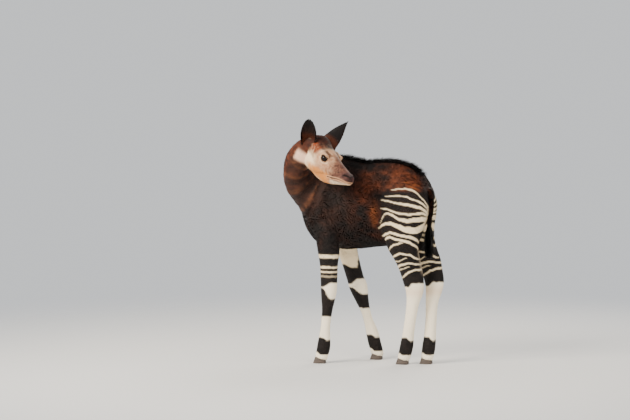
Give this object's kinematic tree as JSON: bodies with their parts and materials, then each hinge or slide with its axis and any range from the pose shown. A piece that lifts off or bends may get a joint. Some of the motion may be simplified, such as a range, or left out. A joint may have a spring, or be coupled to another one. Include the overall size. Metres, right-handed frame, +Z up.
{
  "type": "okapi",
  "caption": "Young okapi as a still, life-size museum model, standing and looking back over its left side.",
  "frame": {"origin": "on the floor, under the middle of the animal's bounding box", "axes": "+Z up, -X the way the trunk faces, -Y the animal's left side, toward which the head is turned"},
  "size_m": [0.8134, 0.5436, 1.2785],
  "materials": {
    "coat_dark": "short velvety dark brown hair, with cream stripes on the haunches and upper legs",
    "coat_face": "very short cream, tan and grey-brown hair",
    "coat_white": "short cream-white hair with dark bands",
    "coat_black": "short black-brown hair, longer on the tail tuft",
    "eye": "wet, dark brown",
    "hoof": "grey-brown horn with fine growth rings"
  },
  "bodies": {
    "root": {"trunk": "coat_dark", "neck": "coat_dark", "head": "coat_face", "ear_left": "coat_black", "ear_right": "coat_black", "eye_left": "eye", "eye_right": "eye", "fore_left_upper": "coat_dark", "fore_left_lower": "coat_white", "fore_left_claw_inner": "hoof", "fore_left_claw_outer": "hoof", "fore_right_upper": "coat_dark", "fore_right_lower": "coat_white", "fore_right_claw_inner": "hoof", "fore_right_claw_outer": "hoof", "hind_left_upper": "coat_dark", "hind_left_lower": "coat_white", "hind_left_claw_inner": "hoof", "hind_left_claw_outer": "hoof", "hind_right_upper": "coat_dark", "hind_right_lower": "coat_white", "hind_right_claw_inner": "hoof", "hind_right_claw_outer": "hoof", "tail": "coat_black", "tail_tuft": "coat_black"}
  },
  "joints": []
}
